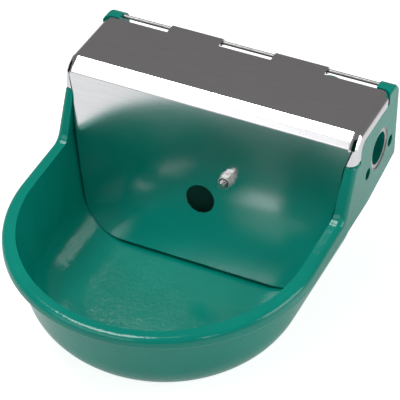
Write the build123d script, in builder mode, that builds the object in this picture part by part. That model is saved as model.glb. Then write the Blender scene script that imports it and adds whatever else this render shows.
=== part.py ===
"""Livestock drinking bowl: enamelled iron casting, hinged stainless cover, float valve.

Frame: origin between the two wall bolt holes on the wall face, X to the right seen from the
front, Y into the wall, Z up. Millimetres.
"""
import math
import os

from build123d import *

# ---------------------------------------------------------------- casting, main outline
half_width = 100.0
bowl_centre_y = -128.5
rim_reach = 102.8
rim_lip = 8.4
rim_front_z = -36.0
rim_slope = 0.045
lip_drop = 8.0
body_wall = 5.0
side_draft = 0.202
front_draft = 0.25
floor_z = -99.5
base_z = -104.5
loft_top_z = -30.0
hollow_top_z = -28.0
body_top_z = -38.0
body_corner = 50.0
hollow_corner = 44.0
chamber_corner = 4.0
inner_floor_radius = 36.0
outer_floor_radius = 43.0
back_wall = 5.0
cheek_flare = 0.04

# ---------------------------------------------------------------- cheeks, arms, ears
cheek_top_z = 14.3
step_y = -63.7
step_z = 2.6
arm_foot = (-84.5, -30.2)
arm_head = (-67.5, step_z)
foot_round = 8.0
step_round = 3.0
ear_inner_x = half_width - 10.3
ear_length = 26.0
ear_wall_y = -14.4
ear_pocket_radius = 7.0
ear_block_depth = 8.0
pocket_reach = 100.0
ear_top_z = 22.4
ear_flat_y = -11.5
ear_round = (-6.15, 21.4)
ear_back_z = 15.0
ear_shoulder = 2.0
back_wall_top_z = 9.0
side_low_front = (-60.0, -44.0)
side_low_back = (0.0, -34.0)
flap_seat_radius = 6.7
wall_edge_radius = 2.0
rim_round = 4.0
lip_under_round = 2.5

# ---------------------------------------------------------------- ports and wall holes
port_y = -31.0
port_z = -10.9
port_radius = 10.8
port_face_radius = 13.9
port_face_depth = 0.8
port_pad_x = half_width - 9.5
pad_margin = 1.5
pad_run = 4.0
screw_hole_radius = 4.0
screw_pitch = 37.8
screw_z = -17.7
wall_hole_x = 55.0
wall_hole_radius = 4.5
wall_boss_radius = 11.0
wall_boss = 3.0

# ---------------------------------------------------------------- cover sheet
sheet = 1.0
top_z = 22.0
cover_back_y = -15.4
crease_y = -62.7
band_mid = (-68.8, 18.6)
band_low = (-72.0, 15.1)
plate_lean = 8.26
side_roll = 6.0
crease_radius = 1.6
skirt_gap = 0.3
flap_low_z = 3.2
plate_bottom_z = -96.7
plate_corner = 28.0
finger_hole_z = -49.0
finger_hole_radius = 9.85
slit_top_z = 13.6
slit_width = 0.8
plate_top = (half_width - 3.8, slit_top_z)
plate_knee = (half_width - 7.6, 0.0)
plate_mid = (half_width - 8.6, -18.0)
plate_low = (half_width - 14.6, -54.0)
plate_bottom = (half_width - 23.6, plate_bottom_z)
relief_x = half_width - 3.1
relief_width = 2.0
relief_height = 5.6
slit_reach = 8.0

# ---------------------------------------------------------------- hinge
rod_radius = 1.25
rod_y = -7.6
rod_fit = 0.08
rod_end_x = half_width - 4.0
rod_hole_end = 1.3
rod_inset = 0.5
knuckle_fit = 0.12
knuckle_inner_x = 18.2
knuckle_outer_x = 54.7
curl_angle = 285.0
knuckle_bore = rod_radius + knuckle_fit
rod_z = top_z - sheet - knuckle_bore

# ---------------------------------------------------------------- cover bolt and latch
bolt_x = 17.6
bolt_z = -29.0
bolt_radius = 2.5
bolt_clearance = 0.25
thread_fit = 0.05
bolt_head = 3.5
nut_flats = 8.0
nut_height = 5.0
nut_collar = 0.9
nut_ring_radius = 3.3
washer_thick = 1.0
front_washer_radius = 5.0
rear_washer_radius = 6.5
spacer_radius = 6.0
bush_radius = 4.0
bush_fit = 0.08
bolt_beyond_nut = 4.6
spacer_length = 5.0
lever_thick = 2.0
lever_play = 0.2
lever_head_radius = 8.5
lever_foot_radius = 6.0
lever_length = 58.0
lever_rest = 15.0
latch_lug_width = 12.0
latch_lug_thick = 3.2
latch_lug_overlap = 6.0
lug_front = 2.2
lug_sink = 2.0

# ---------------------------------------------------------------- float valve
gasket_thick = 1.5
flange_thick = 5.0
flange_lobe = 6.1
shank_radius = 10.48
neck_radius = 9.9
shank_out = 10.0
barrel_radius = 12.5
barrel_end_x = -half_width + 34.0
plunger_radius = 7.9
plunger_fit = 0.1
pivot_x = -half_width + 38.0
pivot_z = -30.0
pivot_radius = 2.0
pivot_fit = 0.08
cam_reach = 20.0
cam_radius = 3.0
cam_gap = 0.1
cam_neck = 1.8
float_swing = 15.0
head_half = 4.0
fork_inner = 4.4
fork_radius = 5.5
fork_thick = 4.0
float_x = 30.0
float_y = -40.0
arm_end_z = -50.0
arm_rod_radius = 3.0
float_radius = 26.0
float_height = 32.0
float_edge = 11.0
stem_radius = 2.5
screw_radius = 3.0
screw_flats = 10.0
screw_head = 4.0
screw_nut = 5.0
inlet_bore = 7.0
seat_bore = 2.0
nozzle_radius = 4.5
nozzle_length = 12.0
strainer_length = 8.0
outlet_x = -half_width + 20.5
outlet_radius = 3.2
plunger_length = 13.4
seal_radius = 5.5
seal_deep = 2.2
seal_proud = 0.8
seat_gap = 0.3
arm_head_radius = 5.0
arm_pad = 6.0
arm_pad_radius = 6.5
pin_head_radius = 3.2
clip_radius = 3.8
clip_bore = 1.7
stem_nut = 4.0
float_gap = 1.0
float_wall = 1.5
float_seam = 0.8
float_bead = 0.8
hub_radius = 6.0
hub_depth = 12.0

lean = math.radians(plate_lean)
lip_low_z = rim_front_z - lip_drop
plate_plane = Plane(
    origin=(0, band_low[0], band_low[1]),
    x_dir=(1, 0, 0),
    z_dir=(0, -math.cos(lean), math.sin(lean)),
)

plate_axis = Axis(plate_plane.origin, plate_plane.z_dir)


def plan_shape(plane, half_w, reach, back_y, corner):
    """D outline: straight sides from the back, half circle at the front."""
    front_y = bowl_centre_y - (reach - half_w)
    with BuildSketch(plane) as shape:
        with BuildLine():
            Polyline((-half_w, front_y), (-half_w, back_y), (half_w, back_y), (half_w, front_y))
            CenterArc((0, front_y), half_w, 180, 180)
        make_face()
        fillet(shape.vertices().sort_by(Axis.Y)[-2:], corner)
    return shape.sketch


def plate_y(z):
    """Distance of the plate's front from the wall at a height."""
    return band_low[0] - math.tan(lean) * (band_low[1] - z)


def plate_v(z):
    """Height on the leaning plate, measured along it from the band's lower line."""
    return (z - band_low[1]) / math.cos(lean)


def rim_z(y):
    """Height of the rim's top surface at a distance from the wall."""
    return rim_front_z + rim_slope * (y - bowl_centre_y + rim_reach - rim_lip)


plate_outline = [plate_top, plate_knee, plate_mid, plate_low, plate_bottom]
lever_foot_v = plate_v(bolt_z) - lever_length
lug_top_v = lever_foot_v + latch_lug_overlap
lug_low_v = plate_v(floor_z - lug_sink)


def hollow_half_at(z):
    """Half width of the bowl's inside at a height."""
    return inner_half + side_draft * (z - loft_top_z)


def hollow_reach_at(z):
    """Front reach of the bowl's inside at a height, from the bowl's centre."""
    return inner_reach + front_draft * (z - rim_front_z)


def body_half_at(z):
    """Half width of the bowl's outside at a height."""
    return hollow_half_at(z) + body_wall


def body_reach_at(z):
    """Front reach of the bowl's outside at a height, from the bowl's centre."""
    return hollow_reach_at(z) + body_wall


# ================================================================ bowl casting
inner_half = half_width - rim_lip
inner_reach = rim_reach - rim_lip

# hollow of the bowl, the water side
with BuildPart(mode=Mode.PRIVATE) as bowl_hollow:
    loft(
        [
            plan_shape(
                Plane.XY.offset(z), hollow_half_at(z), hollow_reach_at(z), -back_wall, hollow_corner
            )
            for z in (hollow_top_z, floor_z)
        ],
        ruled=True,
    )
    fillet(bowl_hollow.faces().sort_by(Axis.Z)[0].edges(), inner_floor_radius)

# float chamber between the cheeks
with BuildPart(mode=Mode.PRIVATE) as chamber_hollow:
    loft(
        [
            plan_shape(
                Plane.XY.offset(z),
                hollow_half_at(hollow_top_z) + cheek_flare * (z - hollow_top_z),
                hollow_reach_at(hollow_top_z) + (z - hollow_top_z) * front_draft,
                -back_wall,
                chamber_corner,
            )
            for z in (hollow_top_z, ear_top_z + ear_block_depth)
        ],
        ruled=True,
    )
    # the ears stay solid down to a ledge below the cheeks' top
    for side in (1, -1):
        with Locations((side * half_width, 0, cheek_top_z - ear_block_depth)):
            Box(
                2 * (half_width - ear_inner_x),
                -2 * ear_wall_y,
                3 * ear_block_depth,
                align=(Align.CENTER, Align.CENTER, Align.MIN),
                mode=Mode.SUBTRACT,
            )

with BuildPart() as bowl_casting:
    # rim band, cheeks, arms and ears: plan outline cut to the side profile
    add(
        extrude(
            plan_shape(Plane.XY.offset(lip_low_z - 1), half_width, rim_reach, 0, wall_edge_radius),
            amount=ear_top_z - lip_low_z + 1,
            mode=Mode.PRIVATE,
        )
    )
    with BuildSketch(Plane.YZ) as side_view:
        with BuildLine():
            Polyline(
                (ear_flat_y, ear_top_z),
                (-ear_length, ear_top_z),
                (-ear_length, cheek_top_z),
                (step_y, cheek_top_z),
                (step_y, step_z),
                (arm_head[0], step_z),
                (arm_foot[0], rim_z(arm_foot[0])),
                (-240, rim_z(-240)),
                (-240, lip_low_z),
                side_low_front,
                side_low_back,
                (0, ear_back_z),
            )
            ThreePointArc((0, ear_back_z), ear_round, (ear_flat_y, ear_top_z))
        make_face()
        foot_corner = side_view.vertices().sort_by_distance((arm_foot[0], rim_z(arm_foot[0])))[0]
        fillet(foot_corner, foot_round)
        flap_seat_corner = side_view.vertices().sort_by_distance((step_y, cheek_top_z))[0]
        fillet(flap_seat_corner, flap_seat_radius)
        head_corner = side_view.vertices().sort_by_distance((arm_head[0], step_z))[0]
        fillet(head_corner, step_round)
    extrude(amount=half_width + 5, both=True, mode=Mode.INTERSECT)
    # rounded shoulders of the ears
    shoulder_edges = (
        bowl_casting.edges()
        .filter_by(lambda e: abs(e.center().X) > half_width - 0.5)
        .filter_by(lambda e: e.center().Z > ear_back_z + 1 and e.center().Y > -ear_length + 1)
    )
    fillet(shoulder_edges, ear_shoulder)
    # rounded outside edges of the rim and of the arms
    outer_edges = (
        bowl_casting.edges()
        .filter_by(lambda e: e.center().Y < step_y - 1)
        .filter_by(lambda e: abs(e.center().X) > half_width - 1 or e.center().Y < -200)
    )
    fillet(outer_edges.filter_by(lambda e: e.center().Z > lip_low_z + 2), rim_round)
    low_edges = (
        bowl_casting.edges()
        .filter_by(lambda e: abs(e.center().X) > half_width - 1 or e.center().Y < -200)
        .filter_by(lambda e: e.center().Z < lip_low_z + 0.5)
    )
    fillet(low_edges, lip_under_round)
    # bowl body below the rim
    loft(
        [
            plan_shape(Plane.XY.offset(z), body_half_at(z), body_reach_at(z), 0, body_corner)
            for z in (body_top_z, base_z)
        ],
        ruled=True,
    )
    fillet(bowl_casting.faces().sort_by(Axis.Z)[0].edges(), outer_floor_radius)
    # hollow it out
    add(bowl_hollow.part, mode=Mode.SUBTRACT)
    add(chamber_hollow.part, mode=Mode.SUBTRACT)
    # pocket that the cover's rear corners drop into, and the low wall between the ears
    with BuildSketch(Plane.XY.offset(cheek_top_z)):
        with Locations((0, ear_wall_y - pocket_reach / 2)):
            RectangleRounded(2 * half_width + 2, pocket_reach, ear_pocket_radius)
    extrude(amount=ear_top_z, mode=Mode.SUBTRACT)
    with BuildSketch(Plane.XY.offset(back_wall_top_z)):
        Rectangle(2 * ear_inner_x, -2 * ear_wall_y)
    extrude(amount=ear_top_z, mode=Mode.SUBTRACT)
    # pads on the inside of both cheeks and round the wall holes, latch lug on the floor
    for side in (1, -1):
        with BuildSketch(Plane.YZ.offset(side * port_pad_x)) as pad:
            with Locations((port_y, port_z)):
                Circle(port_face_radius + pad_margin)
            with Locations((port_y - screw_pitch / 2, screw_z), (port_y + screw_pitch / 2, screw_z)):
                Circle(flange_lobe + pad_margin / 2)
            make_hull()
        extrude(amount=side * pad_run)
    with BuildSketch(Plane.XZ):
        with Locations((wall_hole_x, 0), (-wall_hole_x, 0)):
            Circle(wall_boss_radius)
    extrude(amount=back_wall + wall_boss)
    with BuildSketch(plate_plane.offset(-lug_front)):
        with Locations((bolt_x, (lug_top_v + lug_low_v) / 2)):
            Rectangle(latch_lug_width, lug_top_v - lug_low_v)
    extrude(amount=-latch_lug_thick)
    # inlet ports with their spot faces, screw holes, wall holes, rod holes
    with BuildSketch(Plane.YZ):
        with Locations((port_y, port_z)):
            Circle(port_radius)
        with Locations((port_y - screw_pitch / 2, screw_z), (port_y + screw_pitch / 2, screw_z)):
            Circle(screw_hole_radius)
    extrude(amount=half_width + 5, both=True, mode=Mode.SUBTRACT)
    for side in (1, -1):
        with BuildSketch(Plane.YZ.offset(side * (half_width - port_face_depth))):
            with Locations((port_y, port_z)):
                Circle(port_face_radius)
        extrude(amount=side * 5, mode=Mode.SUBTRACT)
    with BuildSketch(Plane.XZ):
        with Locations((wall_hole_x, 0), (-wall_hole_x, 0)):
            Circle(wall_hole_radius)
    extrude(amount=20, mode=Mode.SUBTRACT)
    with BuildSketch(Plane.YZ.offset(-half_width - 1)):
        with Locations((rod_y, rod_z)):
            Circle(rod_radius + rod_fit)
    extrude(amount=half_width + 1 + rod_end_x + rod_hole_end, mode=Mode.SUBTRACT)

# ================================================================ cover sheet
with BuildPart() as cover_sheet:
    # bent top, slanted band and front corners with rolled sides, as one pan
    with BuildSketch(Plane.YZ.offset(-half_width)):
        with BuildLine():
            FilletPolyline(
                (cover_back_y, top_z),
                (crease_y, top_z),
                band_mid,
                band_low,
                (plate_y(flap_low_z), flap_low_z),
                radius=crease_radius,
            )
            Polyline(
                (plate_y(flap_low_z), flap_low_z),
                (cover_back_y, flap_low_z),
                (cover_back_y, top_z),
            )
        make_face()
    extrude(amount=2 * half_width)
    roll_edges = (
        cover_sheet.edges()
        .filter_by(lambda e: abs(e.center().X) > half_width - 0.1)
        .filter_by(lambda e: e.center().Z > flap_low_z + 1)
        .filter_by(lambda e: e.center().Y < cover_back_y - 1)
    )
    fillet(roll_edges, side_roll)
    offset(
        amount=-sheet,
        openings=[
            cover_sheet.faces().sort_by(Axis.Z)[0],
            cover_sheet.faces().sort_by(Axis.Y)[-1],
        ],
    )
    # skirts are short behind the front corner flaps
    with BuildSketch(Plane.YZ) as skirt_cut:
        with BuildLine():
            Polyline(
                (cover_back_y + 1, cheek_top_z + skirt_gap),
                (step_y - skirt_gap, cheek_top_z + skirt_gap),
                (step_y - skirt_gap, flap_low_z - 1),
                (cover_back_y + 1, flap_low_z - 1),
                close=True,
            )
        make_face()
        flap_corner = skirt_cut.vertices().sort_by_distance((step_y, cheek_top_z))[0]
        fillet(flap_corner, flap_seat_radius + skirt_gap)
    extrude(amount=half_width + 1, both=True, mode=Mode.SUBTRACT)
    # rear corners rounded in plan
    with BuildSketch(Plane.XY.offset(flap_low_z)):
        with Locations((0, cover_back_y - 60)):
            Rectangle(2 * half_width + 2, 122)
        with Locations((0, cover_back_y - 80)):
            RectangleRounded(2 * half_width, 160, ear_pocket_radius - 1, mode=Mode.SUBTRACT)
    extrude(amount=top_z, mode=Mode.SUBTRACT)
    # front plate, leaning outwards towards the bottom
    with BuildSketch(plate_plane) as plate:
        with BuildLine():
            FilletPolyline(
                *[(-x, plate_v(z)) for x, z in plate_outline],
                *[(x, plate_v(z)) for x, z in reversed(plate_outline)],
                radius=plate_corner,
            )
            Line((plate_top[0], plate_v(plate_top[1])), (-plate_top[0], plate_v(plate_top[1])))
        make_face()
    extrude(amount=-sheet)
    # slits and corner reliefs between the plate and the flaps
    for side in (1, -1):
        with BuildSketch(plate_plane.offset(sheet)):
            with BuildLine():
                Polyline(
                    (side * plate_top[0], plate_v(plate_top[1])),
                    (side * plate_knee[0], plate_v(plate_knee[1])),
                    (side * (plate_knee[0] + slit_width), plate_v(plate_knee[1])),
                    (side * (plate_top[0] + slit_width), plate_v(plate_top[1])),
                    close=True,
                )
            make_face()
        extrude(amount=-slit_reach, mode=Mode.SUBTRACT)
        with BuildSketch(Plane.XZ.offset(-band_low[0] + sheet)):
            with Locations((side * relief_x, slit_top_z + relief_height / 2)):
                Rectangle(relief_width, relief_height)
        extrude(amount=-slit_reach, mode=Mode.SUBTRACT)
    # hinge knuckles, the sheet curled round the rod
    for knuckle_x in (-knuckle_outer_x, knuckle_inner_x):
        with BuildSketch(Plane.YZ.offset(knuckle_x)):
            with BuildLine():
                outer_curl = CenterArc((rod_y, rod_z), knuckle_bore + sheet, 90, -curl_angle)
                inner_curl = CenterArc((rod_y, rod_z), knuckle_bore, 90, -curl_angle)
                Line(outer_curl @ 1, inner_curl @ 1)
                Polyline(
                    outer_curl @ 0,
                    (cover_back_y - 1, top_z),
                    (cover_back_y - 1, top_z - sheet),
                    inner_curl @ 0,
                )
            make_face()
        extrude(amount=knuckle_outer_x - knuckle_inner_x)
    # finger hole and bolt hole
    with BuildSketch(plate_plane.offset(1)):
        with Locations((0, plate_v(finger_hole_z))):
            Circle(finger_hole_radius)
        with Locations((bolt_x, plate_v(bolt_z))):
            Circle(bolt_radius + bolt_clearance)
    extrude(amount=-4, mode=Mode.SUBTRACT)

# ================================================================ hinge rod
with BuildPart() as hinge_rod:
    with BuildSketch(Plane.YZ.offset(-half_width + rod_inset)):
        with Locations((rod_y, rod_z)):
            Circle(rod_radius)
    extrude(amount=half_width - rod_inset + rod_end_x)
    chamfer(hinge_rod.edges().filter_by(GeomType.CIRCLE), 0.3)

# ================================================================ cover bolt and its latch
# heights are measured outwards from the plate's front face
bolt_v = plate_v(bolt_z)
lever_face = -sheet - spacer_length
bush_end = lever_face - lever_thick - 2 * lever_play
head_seat = bush_end - washer_thick
nut_top = washer_thick + nut_height

with BuildPart() as cover_bolt:
    with BuildSketch(plate_plane.offset(head_seat)):
        with Locations((bolt_x, bolt_v)):
            RegularPolygon(nut_flats / 2, 6, major_radius=False)
    extrude(amount=-bolt_head)
    with BuildSketch(plate_plane.offset(head_seat)):
        with Locations((bolt_x, bolt_v)):
            Circle(bolt_radius)
    extrude(amount=nut_top + bolt_beyond_nut - head_seat)
    chamfer(cover_bolt.faces().sort_by(plate_axis)[-1].edges(), 0.5)

with BuildPart() as cover_nut:
    with BuildSketch(plate_plane.offset(washer_thick)):
        with Locations((bolt_x, bolt_v)):
            RegularPolygon(nut_flats / 2, 6, major_radius=False)
    extrude(amount=nut_height - nut_collar)
    with BuildSketch(plate_plane.offset(nut_top - nut_collar)):
        with Locations((bolt_x, bolt_v)):
            Circle(nut_flats / 2 - 0.2)
    extrude(amount=nut_collar)
    with BuildSketch(plate_plane.offset(nut_top)):
        with Locations((bolt_x, bolt_v)):
            Circle(nut_ring_radius)
    extrude(amount=-nut_collar, mode=Mode.SUBTRACT)
    with BuildSketch(plate_plane):
        with Locations((bolt_x, bolt_v)):
            Circle(bolt_radius + thread_fit)
    extrude(amount=nut_top, mode=Mode.SUBTRACT)

with BuildPart() as cover_nut_ring:
    with BuildSketch(plate_plane.offset(nut_top - nut_collar)):
        with Locations((bolt_x, bolt_v)):
            Circle(nut_ring_radius - thread_fit)
            Circle(bolt_radius + thread_fit, mode=Mode.SUBTRACT)
    extrude(amount=nut_collar - 0.1)

with BuildPart() as cover_washers:
    with BuildSketch(plate_plane):
        with Locations((bolt_x, bolt_v)):
            Circle(front_washer_radius)
            Circle(bolt_radius + bolt_clearance, mode=Mode.SUBTRACT)
    extrude(amount=washer_thick)
    with BuildSketch(plate_plane.offset(bush_end)):
        with Locations((bolt_x, bolt_v)):
            Circle(rear_washer_radius)
            Circle(bolt_radius + bolt_clearance, mode=Mode.SUBTRACT)
    extrude(amount=-washer_thick)

with BuildPart() as latch_bush:
    with BuildSketch(plate_plane.offset(-sheet)):
        with Locations((bolt_x, bolt_v)):
            Circle(spacer_radius)
    extrude(amount=-spacer_length)
    with BuildSketch(plate_plane.offset(lever_face)):
        with Locations((bolt_x, bolt_v)):
            Circle(bush_radius)
    extrude(amount=bush_end - lever_face)
    with BuildSketch(plate_plane):
        with Locations((bolt_x, bolt_v)):
            Circle(bolt_radius + thread_fit)
    extrude(amount=-20, mode=Mode.SUBTRACT)

with BuildPart() as latch_lever:
    lever_reach = lever_length - lever_foot_radius
    with BuildSketch(plate_plane.offset(lever_face - lever_play)):
        with Locations((bolt_x, bolt_v)):
            Circle(lever_head_radius)
        with Locations(
            (
                bolt_x + lever_reach * math.sin(math.radians(lever_rest)),
                bolt_v - lever_reach * math.cos(math.radians(lever_rest)),
            )
        ):
            Circle(lever_foot_radius)
        make_hull()
        with Locations((bolt_x, bolt_v)):
            Circle(bush_radius + bush_fit, mode=Mode.SUBTRACT)
    extrude(amount=-lever_thick)
    fillet(latch_lever.edges().group_by(plate_axis)[-1], 0.4)

# ================================================================ float valve body
gasket_x = -port_pad_x
flange_x = gasket_x + gasket_thick
flange_end_x = flange_x + flange_thick
shank_x = -half_width - shank_out
cam_angle = math.radians(float_swing / 2)
cam_x = pivot_x + cam_reach * math.sin(cam_angle)
cam_z = pivot_z + cam_reach * math.cos(cam_angle)
plunger_end_x = cam_x - cam_radius - cam_gap
plunger_x = plunger_end_x - plunger_length
plunger_travel = 2 * cam_reach * math.sin(cam_angle)
seat_x = plunger_x - seal_proud - plunger_travel - seat_gap
screw_spots = [(port_y - screw_pitch / 2, screw_z), (port_y + screw_pitch / 2, screw_z)]


def flange_outline(plane, hole_radius, screw_hole):
    """Oval flange shape with its centre hole and two screw holes."""
    with BuildSketch(plane) as shape:
        with Locations((port_y, port_z)):
            Circle(port_face_radius + 1)
        with Locations(*screw_spots):
            Circle(flange_lobe)
        make_hull()
        with Locations((port_y, port_z)):
            Circle(hole_radius, mode=Mode.SUBTRACT)
        with Locations(*screw_spots):
            Circle(screw_hole, mode=Mode.SUBTRACT)
    return shape.sketch


with BuildPart() as flange_gasket:
    extrude(
        flange_outline(Plane.YZ.offset(gasket_x), port_radius, screw_radius + 0.3),
        amount=gasket_thick,
    )

with BuildPart() as valve_body:
    extrude(
        flange_outline(Plane.YZ.offset(flange_x), inlet_bore, screw_radius + 0.3),
        amount=flange_thick,
    )
    with BuildSketch(Plane.YZ.offset(shank_x)):
        with Locations((port_y, port_z)):
            Circle(shank_radius)
    extrude(amount=shank_out)
    with BuildSketch(Plane.YZ.offset(-half_width)):
        with Locations((port_y, port_z)):
            Circle(neck_radius)
    extrude(amount=flange_x + half_width)
    with BuildSketch(Plane.YZ.offset(flange_end_x)):
        with Locations((port_y, port_z)):
            Circle(barrel_radius)
    extrude(amount=barrel_end_x - flange_end_x)
    # fork that carries the arm's pin
    with BuildSketch(Plane.XZ.offset(-port_y)):
        with Locations((pivot_x, pivot_z)):
            Circle(fork_radius)
        with Locations((barrel_end_x - 5, port_z - 5)):
            Rectangle(10, 10)
        make_hull()
    extrude(amount=fork_inner + fork_thick, both=True)
    # slot between the fork's sides, inlet bore, plunger bore, outlet, pin hole
    with Locations((barrel_end_x + 6, port_y, port_z - 15)):
        Box(20, 2 * fork_inner, 26, mode=Mode.SUBTRACT)
    with BuildSketch(Plane.YZ.offset(shank_x)):
        with Locations((port_y, port_z)):
            Circle(inlet_bore)
    extrude(amount=flange_end_x - shank_x, mode=Mode.SUBTRACT)
    with BuildSketch(Plane.YZ.offset(flange_end_x - 0.5)):
        with Locations((port_y, port_z)):
            Circle(plunger_radius + plunger_fit)
    extrude(amount=30, mode=Mode.SUBTRACT)
    with BuildSketch(Plane.XY.offset(port_z)):
        with Locations((outlet_x, port_y)):
            Circle(outlet_radius)
    extrude(amount=-20, mode=Mode.SUBTRACT)
    with BuildSketch(Plane.XZ.offset(-port_y)):
        with Locations((pivot_x, pivot_z)):
            Circle(pivot_radius + pivot_fit)
    extrude(amount=20, both=True, mode=Mode.SUBTRACT)

with BuildPart() as seat_nozzle:
    with BuildSketch(Plane.XY) as nozzle_section:
        with BuildLine():
            Polyline(
                (seat_x, seat_bore),
                (seat_x, seat_bore + 1.0),
                (flange_end_x + 1.0, nozzle_radius),
                (flange_end_x - 1.0, nozzle_radius),
                (flange_end_x - 1.0, inlet_bore - 0.1),
                (flange_end_x - 1.0 - nozzle_length, inlet_bore - 0.1),
                (flange_end_x - 1.0 - nozzle_length, inlet_bore - 1.6),
                (flange_end_x - 3.0, seat_bore),
                close=True,
            )
        make_face()
    revolve(axis=Axis.X)
seat_nozzle.part.position = (0, port_y, port_z)

with BuildPart() as inlet_strainer:
    with BuildSketch(Plane.YZ.offset(shank_x + 0.5)):
        with Locations((port_y, port_z)):
            Circle(inlet_bore - 0.15)
    extrude(amount=strainer_length)
    with BuildSketch(Plane.YZ.offset(shank_x + 0.5)):
        with Locations((port_y, port_z)):
            Circle(inlet_bore - 0.9)
    extrude(amount=strainer_length - 0.8, mode=Mode.SUBTRACT)
    with BuildSketch(Plane.YZ.offset(shank_x)):
        with Locations((port_y, port_z)):
            with PolarLocations(4.2, 10):
                Circle(0.9)
            with PolarLocations(1.9, 5):
                Circle(0.8)
    extrude(amount=strainer_length + 2, mode=Mode.SUBTRACT)

with BuildPart() as flange_screws:
    with BuildSketch(Plane.YZ.offset(-half_width - washer_thick)):
        with Locations(*screw_spots):
            RegularPolygon(screw_flats / 2, 6, major_radius=False)
    extrude(amount=-screw_head)
    with BuildSketch(Plane.YZ.offset(-half_width - washer_thick)):
        with Locations(*screw_spots):
            Circle(screw_radius)
    extrude(amount=half_width + washer_thick + flange_end_x + screw_nut + 2.0)
    chamfer(flange_screws.faces().sort_by(Axis.X)[-2:].edges(), 0.5)

with BuildPart() as flange_washers:
    with BuildSketch(Plane.YZ.offset(-half_width)):
        with Locations(*screw_spots):
            Circle(screw_radius * 2)
            Circle(screw_radius + 0.2, mode=Mode.SUBTRACT)
    extrude(amount=-washer_thick)

with BuildPart() as flange_nuts:
    with BuildSketch(Plane.YZ.offset(flange_end_x)):
        with Locations(*screw_spots):
            RegularPolygon(screw_flats / 2, 6, major_radius=False)
            Circle(screw_radius + thread_fit, mode=Mode.SUBTRACT)
    extrude(amount=screw_nut)

# ================================================================ plunger and its seal
with BuildPart() as valve_plunger:
    with BuildSketch(Plane.YZ.offset(plunger_x)):
        with Locations((port_y, port_z)):
            Circle(plunger_radius)
    extrude(amount=plunger_length)
    chamfer(valve_plunger.faces().sort_by(Axis.X)[-1].edges(), 1.0)
    with BuildSketch(Plane.YZ.offset(plunger_x)):
        with Locations((port_y, port_z)):
            Circle(seal_radius + 0.1)
    extrude(amount=seal_deep, mode=Mode.SUBTRACT)

with BuildPart() as plunger_seal:
    with BuildSketch(Plane.YZ.offset(plunger_x - seal_proud)):
        with Locations((port_y, port_z)):
            Circle(seal_radius)
    extrude(amount=seal_proud + seal_deep)

# ================================================================ float arm, pin and clip
with BuildPart() as float_arm:
    with BuildSketch(Plane.XZ.offset(-port_y)):
        with Locations((pivot_x, pivot_z)):
            Circle(arm_head_radius)
        with Locations((cam_x, cam_z)):
            Circle(cam_radius)
        with Locations(Location(((pivot_x + cam_x) / 2, (pivot_z + cam_z) / 2), -float_swing / 2)):
            Rectangle(2 * cam_neck, cam_reach)
    extrude(amount=head_half, both=True)
    with BuildSketch(Plane.XY.offset(arm_end_z - arm_pad / 2)):
        with Locations((float_x, float_y)):
            Circle(arm_pad_radius)
    extrude(amount=arm_pad)
    with BuildLine() as arm_path:
        Spline(
            (pivot_x + 2, port_y, pivot_z - 1),
            (pivot_x + 34, port_y - 1.5, pivot_z - 8),
            (float_x - 3, float_y, arm_end_z),
            tangents=[(1, 0, -0.1), (1, 0, 0)],
        )
    with BuildSketch(Plane(origin=arm_path.line @ 0, z_dir=arm_path.line % 0)):
        Circle(arm_rod_radius)
    sweep(path=arm_path.line)
    with BuildSketch(Plane.XZ.offset(-port_y)):
        with Locations((pivot_x, pivot_z)):
            Circle(pivot_radius + pivot_fit)
    extrude(amount=20, both=True, mode=Mode.SUBTRACT)
    with BuildSketch(Plane.XY.offset(arm_end_z - arm_pad)):
        with Locations((float_x, float_y)):
            Circle(stem_radius + 0.1)
    extrude(amount=2 * arm_pad, mode=Mode.SUBTRACT)

pin_seat = fork_inner + fork_thick + 0.1
with BuildPart() as pivot_pin:
    with BuildSketch(Plane.XZ.offset(-port_y - pin_seat - 3.4)):
        with Locations((pivot_x, pivot_z)):
            Circle(pivot_radius)
    extrude(amount=2 * pin_seat + 3.4)
    with BuildSketch(Plane.XZ.offset(-port_y + pin_seat)):
        with Locations((pivot_x, pivot_z)):
            Circle(pin_head_radius)
    extrude(amount=1.4)
    with BuildSketch(Plane.XZ.offset(-port_y - pin_seat - 1.2)):
        with Locations((pivot_x, pivot_z)):
            Circle(pivot_radius + 1)
            Circle(clip_bore - 0.1, mode=Mode.SUBTRACT)
    extrude(amount=1.0, mode=Mode.SUBTRACT)

with BuildPart() as pivot_clip:
    with BuildSketch(Plane.XZ.offset(-port_y - pin_seat - 1.1)):
        with Locations((pivot_x, pivot_z)):
            Circle(clip_radius)
            Circle(clip_bore, mode=Mode.SUBTRACT)
        with Locations((pivot_x, pivot_z - clip_radius)):
            Rectangle(clip_bore * 1.4, clip_radius * 2, mode=Mode.SUBTRACT)
    extrude(amount=0.8)

# ================================================================ float on its stem
float_top_z = arm_end_z - arm_pad / 2 - stem_nut - float_gap
float_mid_z = float_top_z - float_height / 2

with BuildPart(mode=Mode.PRIVATE) as float_hollow:
    with Locations((float_x, float_y, float_mid_z)):
        Cylinder(float_radius - float_wall, float_height - 2 * float_wall)
    fillet(float_hollow.edges().filter_by(GeomType.CIRCLE), float_edge - float_wall)
    with Locations((float_x, float_y, float_top_z - hub_depth / 2)):
        Cylinder(hub_radius, hub_depth, mode=Mode.SUBTRACT)

with BuildPart(mode=Mode.PRIVATE) as float_shell:
    with Locations((float_x, float_y, float_mid_z)):
        Cylinder(float_radius, float_height)
    fillet(float_shell.edges().filter_by(GeomType.CIRCLE), float_edge)
    with Locations((float_x, float_y, float_mid_z)):
        Cylinder(float_radius + float_bead, 2 * float_seam)
    add(float_hollow.part, mode=Mode.SUBTRACT)
    with Locations((float_x, float_y, float_top_z - (hub_depth - 2) / 2)):
        Cylinder(stem_radius + thread_fit, hub_depth - 2, mode=Mode.SUBTRACT)

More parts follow.
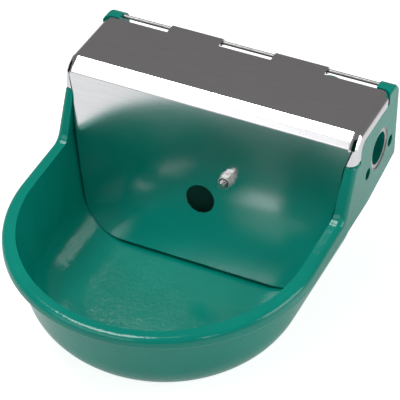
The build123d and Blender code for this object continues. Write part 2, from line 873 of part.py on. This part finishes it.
with BuildPart() as float_upper:
    add(float_shell.part)
    split(bisect_by=Plane.XY.offset(float_mid_z), keep=Keep.TOP)

with BuildPart() as float_lower:
    add(float_shell.part)
    split(bisect_by=Plane.XY.offset(float_mid_z), keep=Keep.BOTTOM)

with BuildPart() as float_stem:
    with BuildSketch(Plane.XY.offset(float_top_z - hub_depth + 3)):
        with Locations((float_x, float_y)):
            Circle(stem_radius)
    extrude(amount=arm_end_z + arm_pad / 2 + stem_nut + 4 - (float_top_z - hub_depth + 3))
    chamfer(float_stem.edges().filter_by(GeomType.CIRCLE), 0.5)

with BuildPart() as float_nuts:
    with BuildSketch(Plane.XY.offset(arm_end_z + arm_pad / 2)):
        with Locations((float_x, float_y)):
            RegularPolygon(nut_flats / 2, 6, major_radius=False)
            Circle(stem_radius + thread_fit, mode=Mode.SUBTRACT)
    extrude(amount=stem_nut)
    with BuildSketch(Plane.XY.offset(arm_end_z - arm_pad / 2)):
        with Locations((float_x, float_y)):
            RegularPolygon(nut_flats / 2, 6, major_radius=False)
            Circle(stem_radius + thread_fit, mode=Mode.SUBTRACT)
    extrude(amount=-stem_nut)

# ================================================================ write the parts
os.makedirs("parts", exist_ok=True)
pieces = {
    "bowl_casting": bowl_casting,
    "cover_sheet": cover_sheet,
    "hinge_rod": hinge_rod,
    "cover_bolt": cover_bolt,
    "cover_nut": cover_nut,
    "cover_nut_ring": cover_nut_ring,
    "cover_washers": cover_washers,
    "latch_bush": latch_bush,
    "latch_lever": latch_lever,
    "flange_gasket": flange_gasket,
    "valve_body": valve_body,
    "seat_nozzle": seat_nozzle,
    "inlet_strainer": inlet_strainer,
    "flange_screws": flange_screws,
    "flange_washers": flange_washers,
    "flange_nuts": flange_nuts,
    "valve_plunger": valve_plunger,
    "plunger_seal": plunger_seal,
    "float_arm": float_arm,
    "pivot_pin": pivot_pin,
    "pivot_clip": pivot_clip,
    "float_upper": float_upper,
    "float_lower": float_lower,
    "float_stem": float_stem,
    "float_nuts": float_nuts,
}
for piece_name, piece in pieces.items():
    piece.part.label = piece_name
    export_step(piece.part, f"parts/{piece_name}.step")
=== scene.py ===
"""Looks for the livestock drinking bowl: enamel, satin stainless sheet, brass, plastic, studio."""
import math

import bpy
from mathutils import Matrix, Vector


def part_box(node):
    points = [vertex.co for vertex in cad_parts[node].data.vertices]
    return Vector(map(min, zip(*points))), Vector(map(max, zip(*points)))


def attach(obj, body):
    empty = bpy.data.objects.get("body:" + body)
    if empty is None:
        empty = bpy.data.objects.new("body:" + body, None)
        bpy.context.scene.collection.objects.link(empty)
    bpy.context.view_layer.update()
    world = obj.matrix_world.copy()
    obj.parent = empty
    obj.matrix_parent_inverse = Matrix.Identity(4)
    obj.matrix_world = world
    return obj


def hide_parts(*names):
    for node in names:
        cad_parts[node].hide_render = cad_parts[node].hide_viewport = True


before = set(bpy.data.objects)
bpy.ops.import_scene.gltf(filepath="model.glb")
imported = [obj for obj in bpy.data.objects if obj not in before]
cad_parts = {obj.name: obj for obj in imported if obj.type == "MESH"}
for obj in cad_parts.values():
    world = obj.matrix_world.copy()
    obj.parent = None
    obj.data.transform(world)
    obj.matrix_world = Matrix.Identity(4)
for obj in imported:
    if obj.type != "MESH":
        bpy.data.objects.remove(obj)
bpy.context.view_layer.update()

# ---------------------------------------------------------------- places on the object, in metres
PORT_Y = -0.031
PORT_Z = -0.0109
PORT_RADIUS = 0.0108
PORT_FACE_RADIUS = 0.0139
CHEEK_X = 0.100
BASE_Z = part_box("bowl_casting")[0][2]
FACE_DEPTH = 0.0010  # the machined ring lies just under the cheek's outer face
EDGE = 0.0001  # how far a painted edge reaches past the edge of the solid
PLATE_LEAN = math.radians(8.26)
PLATE_NORMAL = (0.0, -math.cos(PLATE_LEAN), math.sin(PLATE_LEAN))

# floor of the float chamber, where the enamel is dull
WELL_FRONT_Y, WELL_BACK_Y = -0.078, -0.020
WELL_LOW_Z, WELL_HIGH_Z = -0.1015, -0.05
WELL_HALF_X, WELL_FADED_X = 0.045, 0.062


# ---------------------------------------------------------------- colours and fine sizes
BARE_IRON = (0.55, 0.56, 0.55)
STEEL = (0.86, 0.85, 0.83)
BRASS = (0.72, 0.50, 0.22)
BRIGHT_BRASS = (0.78, 0.57, 0.27)
THREAD_PITCH = 0.0008
THREAD_DEPTH = 0.00025


# ---------------------------------------------------------------- material helpers
class Shader:
    """A principled material and short ways to add nodes to it."""

    def __init__(self, name, color, metallic=0.0, roughness=0.4, **sockets):
        self.material = bpy.data.materials.new(name)
        self.material.use_nodes = True
        self.nodes = self.material.node_tree.nodes
        self.links = self.material.node_tree.links
        self.bsdf = self.nodes["Principled BSDF"]
        self.set("Base Color", (*color, 1.0))
        self.set("Metallic", metallic)
        self.set("Roughness", roughness)
        for socket, value in sockets.items():
            self.set(socket.replace("_", " "), value)
        self.place = self.nodes.new("ShaderNodeTexCoord").outputs["Object"]

    def set(self, socket, value):
        self.bsdf.inputs[socket].default_value = value

    def link(self, output, node, socket):
        self.links.new(output, node.inputs[socket])

    def noise(self, scale, detail=3.0, roughness=0.5, stretch=(1, 1, 1)):
        mapping = self.nodes.new("ShaderNodeMapping")
        mapping.inputs["Scale"].default_value = stretch
        self.link(self.place, mapping, "Vector")
        noise = self.nodes.new("ShaderNodeTexNoise")
        noise.inputs["Scale"].default_value = scale
        noise.inputs["Detail"].default_value = detail
        noise.inputs["Roughness"].default_value = roughness
        self.link(mapping.outputs["Vector"], noise, "Vector")
        return noise.outputs["Fac"]

    def remap(self, value, low, high, start=0.3, end=0.7):
        node = self.nodes.new("ShaderNodeMapRange")
        node.inputs["From Min"].default_value = start
        node.inputs["From Max"].default_value = end
        node.inputs["To Min"].default_value = low
        node.inputs["To Max"].default_value = high
        self.link(value, node, "Value")
        return node.outputs["Result"]

    def math(self, operation, a, b=None):
        node = self.nodes.new("ShaderNodeMath")
        node.operation = operation
        for socket, value in zip(node.inputs, (a, b)):
            if isinstance(value, (int, float)):
                socket.default_value = value
            elif value is not None:
                self.links.new(value, socket)
        return node.outputs["Value"]

    def all_of(self, first, *others):
        """Product of masks."""
        for mask in others:
            first = self.math("MULTIPLY", first, mask)
        return first

    def blend_colors(self, factor, dark, light):
        node = self.nodes.new("ShaderNodeMix")
        node.data_type = "RGBA"
        self.links.new(factor, node.inputs["Factor"])
        for socket, value in ((node.inputs["A"], dark), (node.inputs["B"], light)):
            if isinstance(value, tuple):
                socket.default_value = (*value, 1.0)
            else:
                self.links.new(value, socket)
        return node.outputs["Result"]

    def bump(self, height, strength, distance, after=None):
        node = self.nodes.new("ShaderNodeBump")
        node.inputs["Strength"].default_value = strength
        node.inputs["Distance"].default_value = distance
        self.link(height, node, "Height")
        if after is not None:
            self.link(after, node, "Normal")
        return node.outputs["Normal"]

    def axis_parts(self):
        node = self.nodes.new("ShaderNodeSeparateXYZ")
        self.link(self.place, node, "Vector")
        return node.outputs["X"], node.outputs["Y"], node.outputs["Z"]

    def along(self, direction):
        node = self.nodes.new("ShaderNodeVectorMath")
        node.operation = "DOT_PRODUCT"
        self.links.new(self.place, node.inputs[0])
        node.inputs[1].default_value = direction
        return node.outputs["Value"]

    def thread(self, direction, pitch, depth, after=None):
        """Thread ridges across an axis, as bump."""
        turns = self.math("MULTIPLY", self.along(direction), 2 * math.pi / pitch)
        return self.bump(self.math("SINE", turns), 0.9, depth, after)


def enamel():
    """Green enamel on a casting, dull in the chamber, bare metal on the ring round each port."""
    s = Shader("enamel_green", (0.0, 0.25, 0.175), roughness=0.12, Specular_IOR_Level=0.4)
    wide = s.noise(14.0, 3.0)
    color = s.blend_colors(s.remap(wide, 0.0, 1.0), (0.0, 0.226, 0.17), (0.0, 0.278, 0.21))
    ripple = s.noise(380.0, 2.0)
    cast = s.noise(45.0, 4.0, 0.6)
    x, y, z = s.axis_parts()
    across = s.math("SUBTRACT", y, PORT_Y)
    above = s.math("SUBTRACT", z, PORT_Z)
    reach = s.math("SQRT", s.math("ADD", s.math("POWER", across, 2.0), s.math("POWER", above, 2.0)))
    inside_ring = s.math("LESS_THAN", reach, PORT_FACE_RADIUS + EDGE)
    outside_bore = s.math("GREATER_THAN", reach, PORT_RADIUS - EDGE)
    side = s.math("ABSOLUTE", x)
    outer_face = s.math("GREATER_THAN", side, CHEEK_X - FACE_DEPTH)
    ring = s.all_of(inside_ring, outside_bore, outer_face)
    s.link(s.blend_colors(ring, color, BARE_IRON), s.bsdf, "Base Color")
    s.link(s.math("MULTIPLY", ring, 0.85), s.bsdf, "Metallic")
    well = s.all_of(
        s.math("GREATER_THAN", y, WELL_FRONT_Y),
        s.math("LESS_THAN", y, WELL_BACK_Y),
        s.math("GREATER_THAN", z, WELL_LOW_Z),
        s.math("LESS_THAN", z, WELL_HIGH_Z),
        s.remap(side, 1.0, 0.0, WELL_HALF_X, WELL_FADED_X),
    )
    rough = s.math("ADD", s.remap(wide, 0.1, 0.16), s.math("MULTIPLY", well, 0.5))
    s.link(s.math("ADD", rough, s.math("MULTIPLY", ring, 0.2)), s.bsdf, "Roughness")
    skin = s.bump(cast, 0.25, 0.0012)
    s.link(s.bump(ripple, 0.35, 0.0003, skin), s.bsdf, "Normal")
    return s.material


def satin_sheet():
    """Stainless sheet with a fine rolled grain along X."""
    s = Shader("satin_stainless", (0.85, 0.86, 0.88), metallic=1.0, roughness=0.22)
    grain = s.noise(900.0, 2.0, 0.6, (0.06, 1.0, 1.0))
    cloud = s.noise(9.0, 3.0)
    s.link(s.remap(cloud, 0.13, 0.2), s.bsdf, "Roughness")
    color = s.blend_colors(s.remap(grain, 0.0, 1.0), (0.82, 0.83, 0.85), (0.88, 0.89, 0.91))
    s.link(color, s.bsdf, "Base Color")
    waves = s.bump(s.noise(11.0, 1.0), 0.25, 0.0015)
    s.link(s.bump(grain, 0.08, 0.0001, waves), s.bsdf, "Normal")
    return s.material


def turned_metal(name, color, roughness, thread_axis=None, metallic=1.0):
    """Small machined metal piece, with thread ridges along an axis where one is given."""
    s = Shader(name, color, metallic=metallic, roughness=roughness)
    speck = s.noise(400.0, 3.0)
    s.link(s.remap(speck, roughness - 0.05, roughness + 0.08), s.bsdf, "Roughness")
    darker = tuple(channel * 0.85 for channel in color)
    s.link(s.blend_colors(s.remap(s.noise(60.0), 0.0, 1.0), darker, color), s.bsdf, "Base Color")
    fine = s.bump(speck, 0.1, 0.0001)
    ridges = s.thread(thread_axis, THREAD_PITCH, THREAD_DEPTH, fine) if thread_axis else fine
    s.link(ridges, s.bsdf, "Normal")
    return s.material


def moulded(name, color, roughness, grain=0.15):
    """Moulded plastic or rubber."""
    s = Shader(name, color, roughness=roughness)
    s.link(s.remap(s.noise(120.0), roughness - 0.06, roughness + 0.06), s.bsdf, "Roughness")
    darker = tuple(channel * 0.88 for channel in color)
    s.link(s.blend_colors(s.remap(s.noise(25.0), 0.0, 1.0), darker, color), s.bsdf, "Base Color")
    s.link(s.bump(s.noise(700.0, 2.0), grain, 0.0002), s.bsdf, "Normal")
    return s.material


looks = {
    "bowl_casting": enamel(),
    "cover_sheet": satin_sheet(),
    # latch lever: stainless steel given a near-black base colour, painted shade standing in for the
    # dark reflection on it; the roughness is its own
    "latch_dull_painted_shade": turned_metal("latch_steel_painted_shade", (0.11, 0.115, 0.12), 0.75),
    "hinge_rod": turned_metal("wire_steel", (0.45, 0.44, 0.43), 0.5),
    "cover_bolt": turned_metal("bolt_steel", STEEL, 0.28, PLATE_NORMAL),
    "nuts_steel": turned_metal("nut_steel", (0.86, 0.86, 0.85), 0.3, metallic=0.5),
    "screw_steel": turned_metal("screw_steel", STEEL, 0.28),
    "nylon": moulded("nylon_dark", (0.04, 0.055, 0.09), 0.45),
    "brass": turned_metal("cast_brass", BRASS, 0.38),
    "brass_bright": turned_metal("turned_brass", BRIGHT_BRASS, 0.25),
    "stem_brass": turned_metal("stem_brass", BRIGHT_BRASS, 0.3, (0, 0, 1)),
    "mesh": turned_metal("mesh_steel", (0.5, 0.5, 0.49), 0.4),
    "rubber": moulded("rubber_black", (0.03, 0.03, 0.03), 0.6, 0.3),
    "plastic": moulded("float_plastic", (0.72, 0.69, 0.6), 0.42),
}
node_looks = {
    "bowl_casting": "bowl_casting",
    "cover_sheet": "cover_sheet",
    "latch_lever": "latch_dull_painted_shade",
    "hinge_rod": "hinge_rod",
    "cover_bolt": "cover_bolt",
    "cover_nut": "nuts_steel",
    "cover_nut_ring": "nylon",
    "cover_washers": "nuts_steel",
    "latch_bush": "nuts_steel",
    "flange_gasket": "rubber",
    "valve_body": "brass",
    "seat_nozzle": "brass_bright",
    "inlet_strainer": "mesh",
    "flange_screws": "screw_steel",
    "flange_washers": "nuts_steel",
    "flange_nuts": "nuts_steel",
    "valve_plunger": "brass_bright",
    "plunger_seal": "rubber",
    "float_arm": "brass",
    "pivot_pin": "nuts_steel",
    "pivot_clip": "nuts_steel",
    "float_upper": "plastic",
    "float_lower": "plastic",
    "float_stem": "stem_brass",
    "float_nuts": "brass_bright",
}
for node_name, look in node_looks.items():
    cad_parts[node_name].material_slots[0].material = looks[look]


# ---------------------------------------------------------------- casting with fuller arms
ARM_HEAD_Z = 0.0026
ARM_FOOT_Z = -0.0302
HEAD_SHIFT = 0.0050
FOOT_SHIFT = 0.0023
# each pair runs from where the casting stays still to where it moves fully
ARM_SIDE_X = (0.080, 0.090)
ARM_FRONT_Y = (-0.0639, -0.0660)
ARM_TOP_Z = (0.0050, 0.0030)
RIM_Y = (-0.1300, -0.0900)
BODY_Z = (-0.0520, -0.0340)


def ease(value, start, end):
    """Smooth step from 0 at start to 1 at end."""
    t = min(max((value - start) / (end - start), 0.0), 1.0)
    return t * t * (3.0 - 2.0 * t)


def fuller_arms():
    """Copy of the casting whose arms reach as far forward as in the photograph."""
    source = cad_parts["bowl_casting"]
    piece = bpy.data.objects.new("bowl_skin", source.data.copy())
    bpy.context.collection.objects.link(piece)
    for vertex in piece.data.vertices:
        x, y, z = vertex.co
        rise = min(max((z - ARM_FOOT_Z) / (ARM_HEAD_Z - ARM_FOOT_Z), 0.0), 1.0)
        shift = FOOT_SHIFT + (HEAD_SHIFT - FOOT_SHIFT) * rise
        shift *= ease(abs(x), *ARM_SIDE_X) * ease(y, *ARM_FRONT_Y) * ease(z, *ARM_TOP_Z)
        shift *= ease(y, *RIM_Y) * ease(z, *BODY_Z)
        vertex.co.y = y - shift
    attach(piece, "bowl")
    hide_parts("bowl_casting")


fuller_arms()


# ---------------------------------------------------------------- camera at the photograph's view
AZIMUTH = math.radians(25.462)
ELEVATION = math.radians(39.246)
ROLL = math.radians(-0.176)
CAMERA_PLACE = (0.4192, -0.9619, 0.7468)
SENSOR_WIDTH = 36.0
LENS = 178.62
right = Vector((math.cos(AZIMUTH), math.sin(AZIMUTH), 0.0))
level = math.cos(ELEVATION)
back = Vector((math.sin(AZIMUTH) * level, -math.cos(AZIMUTH) * level, math.sin(ELEVATION)))
up = back.cross(right)
rolled_right = math.cos(ROLL) * right + math.sin(ROLL) * up
rolled_up = math.cos(ROLL) * up - math.sin(ROLL) * right
camera_data = bpy.data.cameras.new("camera")
camera_data.sensor_width = SENSOR_WIDTH
camera_data.lens = LENS
camera = bpy.data.objects.new("camera", camera_data)
bpy.context.collection.objects.link(camera)
turn = Matrix((rolled_right, rolled_up, back)).transposed().to_4x4()
camera.matrix_world = Matrix.Translation(CAMERA_PLACE) @ turn
bpy.context.scene.camera = camera

# ---------------------------------------------------------------- studio
# The photograph is cut out on pure white, so floor and backdrop glow more to the camera's own rays
# than they light the object.
FLOOR_SIZE = 8.0
FLOOR_GLOW, FLOOR_SEEN_GLOW = 0.28, 0.55
SKY_GLOW, SKY_SEEN_GLOW = 0.163, 0.85
OBJECT_MIDDLE = (0, -0.1, -0.03)
COVER_MIDDLE = (0, -0.1, 0)
bpy.ops.mesh.primitive_plane_add(size=FLOOR_SIZE, location=(0, 0, BASE_Z))
floor = bpy.context.object
floor.name = "studio_floor"
floor_shader = Shader("floor_white", (0.6, 0.6, 0.6), roughness=0.7)
floor_shader.set("Emission Color", (1.0, 1.0, 1.0, 1.0))
seen = floor_shader.nodes.new("ShaderNodeLightPath").outputs["Is Camera Ray"]
glow = floor_shader.math("ADD", floor_shader.math("MULTIPLY", seen, FLOOR_SEEN_GLOW), FLOOR_GLOW)
floor_shader.link(glow, floor_shader.bsdf, "Emission Strength")
floor.data.materials.append(floor_shader.material)


def softbox(name, place, target, size, power):
    """White rectangular area light aimed at a point."""
    light = bpy.data.lights.new(name, "AREA")
    light.shape = "RECTANGLE"
    light.size, light.size_y = size
    light.energy = power
    lamp = bpy.data.objects.new(name, light)
    bpy.context.collection.objects.link(lamp)
    lamp.location = place
    lamp.rotation_mode = "QUATERNION"
    lamp.rotation_quaternion = (Vector(target) - Vector(place)).to_track_quat("-Z", "Y")


# The first two are mirrored by the two facets of the cover's front band, the third by the bowl's wall.
softbox("front_box", (-0.5, -1.25, 0.78), COVER_MIDDLE, (1.3, 0.75), 4.2)
softbox("top_box", (-0.43, -0.16, 1.25), COVER_MIDDLE, (0.75, 0.5), 11.5)
softbox("right_box", (0.95, -0.9, 0.75), OBJECT_MIDDLE, (0.14, 0.55), 0.9)
softbox("side_box", (1.4, 0.15, 0.45), OBJECT_MIDDLE, (0.8, 0.8), 7.0)

# the default view transform greys the saturated green
bpy.context.scene.view_settings.view_transform = "Standard"
world = bpy.data.worlds.new("studio")
bpy.context.scene.world = world
world.use_nodes = True
sky = world.node_tree.nodes["Background"]
sky.inputs["Color"].default_value = (0.985, 0.935, 0.93, 1.0)
nodes, links = world.node_tree.nodes, world.node_tree.links
backdrop = nodes.new("ShaderNodeMath")
backdrop.operation = "MULTIPLY_ADD"
links.new(nodes.new("ShaderNodeLightPath").outputs["Is Camera Ray"], backdrop.inputs[0])
backdrop.inputs[1].default_value = SKY_SEEN_GLOW
backdrop.inputs[2].default_value = SKY_GLOW
links.new(backdrop.outputs["Value"], sky.inputs["Strength"])
